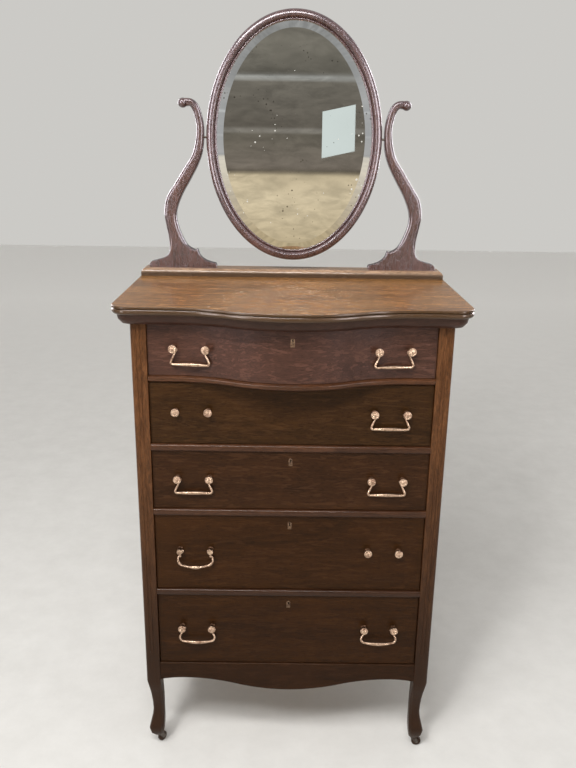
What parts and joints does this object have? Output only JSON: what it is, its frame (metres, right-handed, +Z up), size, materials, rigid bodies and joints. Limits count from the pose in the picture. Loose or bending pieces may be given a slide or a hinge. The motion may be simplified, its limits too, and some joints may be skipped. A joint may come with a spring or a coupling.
{
  "type": "highboy with mirror",
  "caption": "Tall wooden chest with full-width drawers, a serpentine top drawer, cabriole legs on casters and a tilting oval mirror between scrolled arms.",
  "frame": {"origin": "on the floor, in the middle of the whole footprint", "axes": "+Z up, the drawers open towards -Y, +X to the right of someone who faces the drawers"},
  "size_m": [0.826, 0.5329, 1.9189],
  "materials": {
    "top_wood": "old satin varnish, golden brown",
    "post_wood": "old satin varnish, worn orange brown",
    "drawer_wood": "old satin varnish, dark reddish brown",
    "rail_wood": "old satin varnish, reddish brown",
    "side_wood": "old satin varnish, reddish brown",
    "inner_wood": "bare, unvarnished",
    "harp_wood": "old satin varnish, purplish brown",
    "mirror_silver": "old bevelled plate, silvering speckled",
    "pull_metal": "aged warm brass",
    "lock_metal": "dark worn steel",
    "caster_metal": "dark worn iron",
    "caster_wood": "worn"
  },
  "bodies": {
    "carcass": {"top_board": "top_wood", "top_moulding": "top_wood", "front_left_post": "post_wood", "front_right_post": "post_wood", "back_left_post": "post_wood", "back_right_post": "post_wood", "side_rails": "side_wood", "side_panels": "side_wood", "curved_rail": "rail_wood", "drawer_rails": "rail_wood", "apron": "rail_wood", "drawer_runners": "inner_wood", "back_panel": "inner_wood", "mirror_base": "top_wood", "left_harp": "harp_wood", "right_harp": "harp_wood", "caster_sockets": "caster_metal"},
    "mirror": {"mirror_frame": "harp_wood", "mirror_glass": "mirror_silver", "mirror_backboard": "inner_wood", "pivot_pins": "caster_metal"},
    "drawer_1": {"drawer_1_front": "drawer_wood", "drawer_1_box": "inner_wood", "drawer_1_pull_posts": "pull_metal", "drawer_1_lock": "lock_metal"},
    "drawer_1_lock_bolt": {"drawer_1_lock_bolt": "lock_metal"},
    "drawer_2": {"drawer_2_front": "drawer_wood", "drawer_2_box": "inner_wood", "drawer_2_pull_posts": "pull_metal"},
    "drawer_3": {"drawer_3_front": "drawer_wood", "drawer_3_box": "inner_wood", "drawer_3_pull_posts": "pull_metal", "drawer_3_lock": "lock_metal"},
    "drawer_3_lock_bolt": {"drawer_3_lock_bolt": "lock_metal"},
    "drawer_4": {"drawer_4_front": "drawer_wood", "drawer_4_box": "inner_wood", "drawer_4_pull_posts": "pull_metal", "drawer_4_lock": "lock_metal"},
    "drawer_4_lock_bolt": {"drawer_4_lock_bolt": "lock_metal"},
    "drawer_5": {"drawer_5_front": "drawer_wood", "drawer_5_box": "inner_wood", "drawer_5_pull_posts": "pull_metal", "drawer_5_lock": "lock_metal"},
    "drawer_5_lock_bolt": {"drawer_5_lock_bolt": "lock_metal"},
    "drawer_1_left_bail": {"drawer_1_left_bail": "pull_metal"},
    "drawer_1_right_bail": {"drawer_1_right_bail": "pull_metal"},
    "drawer_2_right_bail": {"drawer_2_right_bail": "pull_metal"},
    "drawer_3_left_bail": {"drawer_3_left_bail": "pull_metal"},
    "drawer_3_right_bail": {"drawer_3_right_bail": "pull_metal"},
    "drawer_4_left_bail": {"drawer_4_left_bail": "pull_metal"},
    "drawer_5_left_bail": {"drawer_5_left_bail": "pull_metal"},
    "drawer_5_right_bail": {"drawer_5_right_bail": "pull_metal"},
    "caster_fork_front_left": {"caster_fork_front_left": "caster_metal"},
    "caster_wheel_front_left": {"caster_wheel_front_left": "caster_wood"},
    "caster_fork_front_right": {"caster_fork_front_right": "caster_metal"},
    "caster_wheel_front_right": {"caster_wheel_front_right": "caster_wood"},
    "caster_fork_back_left": {"caster_fork_back_left": "caster_metal"},
    "caster_wheel_back_left": {"caster_wheel_back_left": "caster_wood"},
    "caster_fork_back_right": {"caster_fork_back_right": "caster_metal"},
    "caster_wheel_back_right": {"caster_wheel_back_right": "caster_wood"}
  },
  "joints": [
    {"name": "mirror_tilt", "type": "hinge", "parent": "carcass", "child": "mirror", "pos_m": [0, 0.23125, 1.605], "axis": [1, 0, 0], "range_deg": [-20, 30]},
    {"name": "drawer_1_slide", "type": "slide", "parent": "carcass", "child": "drawer_1", "axis": [0, -1, 0], "range_m": [0, 0.32]},
    {"name": "drawer_1_lock_bolt_throw", "type": "slide", "parent": "drawer_1", "child": "drawer_1_lock_bolt", "axis": [0, 0, 1], "range_m": [0, 0.006]},
    {"name": "drawer_2_slide", "type": "slide", "parent": "carcass", "child": "drawer_2", "axis": [0, -1, 0], "range_m": [0, 0.32]},
    {"name": "drawer_3_slide", "type": "slide", "parent": "carcass", "child": "drawer_3", "axis": [0, -1, 0], "range_m": [0, 0.32]},
    {"name": "drawer_3_lock_bolt_throw", "type": "slide", "parent": "drawer_3", "child": "drawer_3_lock_bolt", "axis": [0, 0, 1], "range_m": [0, 0.006]},
    {"name": "drawer_4_slide", "type": "slide", "parent": "carcass", "child": "drawer_4", "axis": [0, -1, 0], "range_m": [0, 0.32]},
    {"name": "drawer_4_lock_bolt_throw", "type": "slide", "parent": "drawer_4", "child": "drawer_4_lock_bolt", "axis": [0, 0, 1], "range_m": [0, 0.006]},
    {"name": "drawer_5_slide", "type": "slide", "parent": "carcass", "child": "drawer_5", "axis": [0, -1, 0], "range_m": [0, 0.32]},
    {"name": "drawer_5_lock_bolt_throw", "type": "slide", "parent": "drawer_5", "child": "drawer_5_lock_bolt", "axis": [0, 0, 1], "range_m": [0, 0.006]},
    {"name": "drawer_1_left_bail_swing", "type": "hinge", "parent": "drawer_1", "child": "drawer_1_left_bail", "pos_m": [-0.23726, -0.17151, 1.13912], "axis": [-0.9934, 0.1146, 0], "range_deg": [0, 28]},
    {"name": "drawer_1_right_bail_swing", "type": "hinge", "parent": "drawer_1", "child": "drawer_1_right_bail", "pos_m": [0.23726, -0.17151, 1.13912], "axis": [-0.9934, -0.1146, 0], "range_deg": [0, 28]},
    {"name": "drawer_2_right_bail_swing", "type": "hinge", "parent": "drawer_2", "child": "drawer_2_right_bail", "pos_m": [0.2365, -0.168, 0.98402], "axis": [-1, 0, 0], "range_deg": [0, 28]},
    {"name": "drawer_3_left_bail_swing", "type": "hinge", "parent": "drawer_3", "child": "drawer_3_left_bail", "pos_m": [-0.2365, -0.168, 0.81093], "axis": [-1, 0, 0], "range_deg": [0, 28]},
    {"name": "drawer_3_right_bail_swing", "type": "hinge", "parent": "drawer_3", "child": "drawer_3_right_bail", "pos_m": [0.2365, -0.168, 0.81093], "axis": [-1, 0, 0], "range_deg": [0, 28]},
    {"name": "drawer_4_left_bail_swing", "type": "hinge", "parent": "drawer_4", "child": "drawer_4_left_bail", "pos_m": [-0.2365, -0.168, 0.61391], "axis": [-1, 0, 0], "range_deg": [0, 28]},
    {"name": "drawer_5_left_bail_swing", "type": "hinge", "parent": "drawer_5", "child": "drawer_5_left_bail", "pos_m": [-0.2365, -0.168, 0.38827], "axis": [-1, 0, 0], "range_deg": [0, 28]},
    {"name": "drawer_5_right_bail_swing", "type": "hinge", "parent": "drawer_5", "child": "drawer_5_right_bail", "pos_m": [0.2365, -0.168, 0.38827], "axis": [-1, 0, 0], "range_deg": [0, 28]},
    {"name": "caster_fork_front_left_swivel", "type": "hinge", "parent": "carcass", "child": "caster_fork_front_left", "pos_m": [-0.35104, -0.14374, 0.032], "axis": [0, 0, 1], "continuous": true},
    {"name": "caster_wheel_front_left_roll", "type": "hinge", "parent": "caster_fork_front_left", "child": "caster_wheel_front_left", "pos_m": [-0.3453, -0.13555, 0.013], "axis": [-0.8192, 0.5736, 0], "continuous": true},
    {"name": "caster_fork_front_right_swivel", "type": "hinge", "parent": "carcass", "child": "caster_fork_front_right", "pos_m": [0.35104, -0.14374, 0.032], "axis": [0, 0, 1], "continuous": true},
    {"name": "caster_wheel_front_right_roll", "type": "hinge", "parent": "caster_fork_front_right", "child": "caster_wheel_front_right", "pos_m": [0.36104, -0.14374, 0.013], "axis": [0, 1, 0], "continuous": true},
    {"name": "caster_fork_back_left_swivel", "type": "hinge", "parent": "carcass", "child": "caster_fork_back_left", "pos_m": [-0.35104, 0.2477, 0.032], "axis": [0, 0, 1], "continuous": true},
    {"name": "caster_wheel_back_left_roll", "type": "hinge", "parent": "caster_fork_back_left", "child": "caster_wheel_back_left", "pos_m": [-0.35446, 0.2383, 0.013], "axis": [0.9397, -0.342, 0], "continuous": true},
    {"name": "caster_fork_back_right_swivel", "type": "hinge", "parent": "carcass", "child": "caster_fork_back_right", "pos_m": [0.35104, 0.2477, 0.032], "axis": [0, 0, 1], "continuous": true},
    {"name": "caster_wheel_back_right_roll", "type": "hinge", "parent": "caster_fork_back_right", "child": "caster_wheel_back_right", "pos_m": [0.34164, 0.24428, 0.013], "axis": [0.342, -0.9397, 0], "continuous": true}
  ]
}
